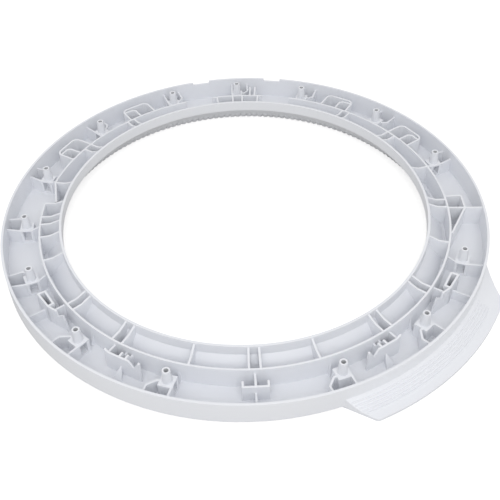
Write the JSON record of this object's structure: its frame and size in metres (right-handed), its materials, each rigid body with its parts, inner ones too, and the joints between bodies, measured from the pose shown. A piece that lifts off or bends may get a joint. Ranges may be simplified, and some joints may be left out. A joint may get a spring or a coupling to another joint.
{
  "type": "washing machine outer door frame",
  "caption": "Round moulded plastic outer ring of a front-loading washer door, seen from its ribbed back, with screw posts, snap brackets and a handle lip.",
  "frame": {"origin": "centre of the round opening, on the plane of the front face that the ring lies on", "axes": "+Z out of the open back along the ring's axis, +Y towards the top of the door, +X to the side of the handle lip"},
  "size_m": [0.4708, 0.474, 0.0311],
  "materials": {
    "white_plastic": "satin moulded"
  },
  "bodies": {
    "root": {"door_frame": "white_plastic"}
  },
  "joints": []
}
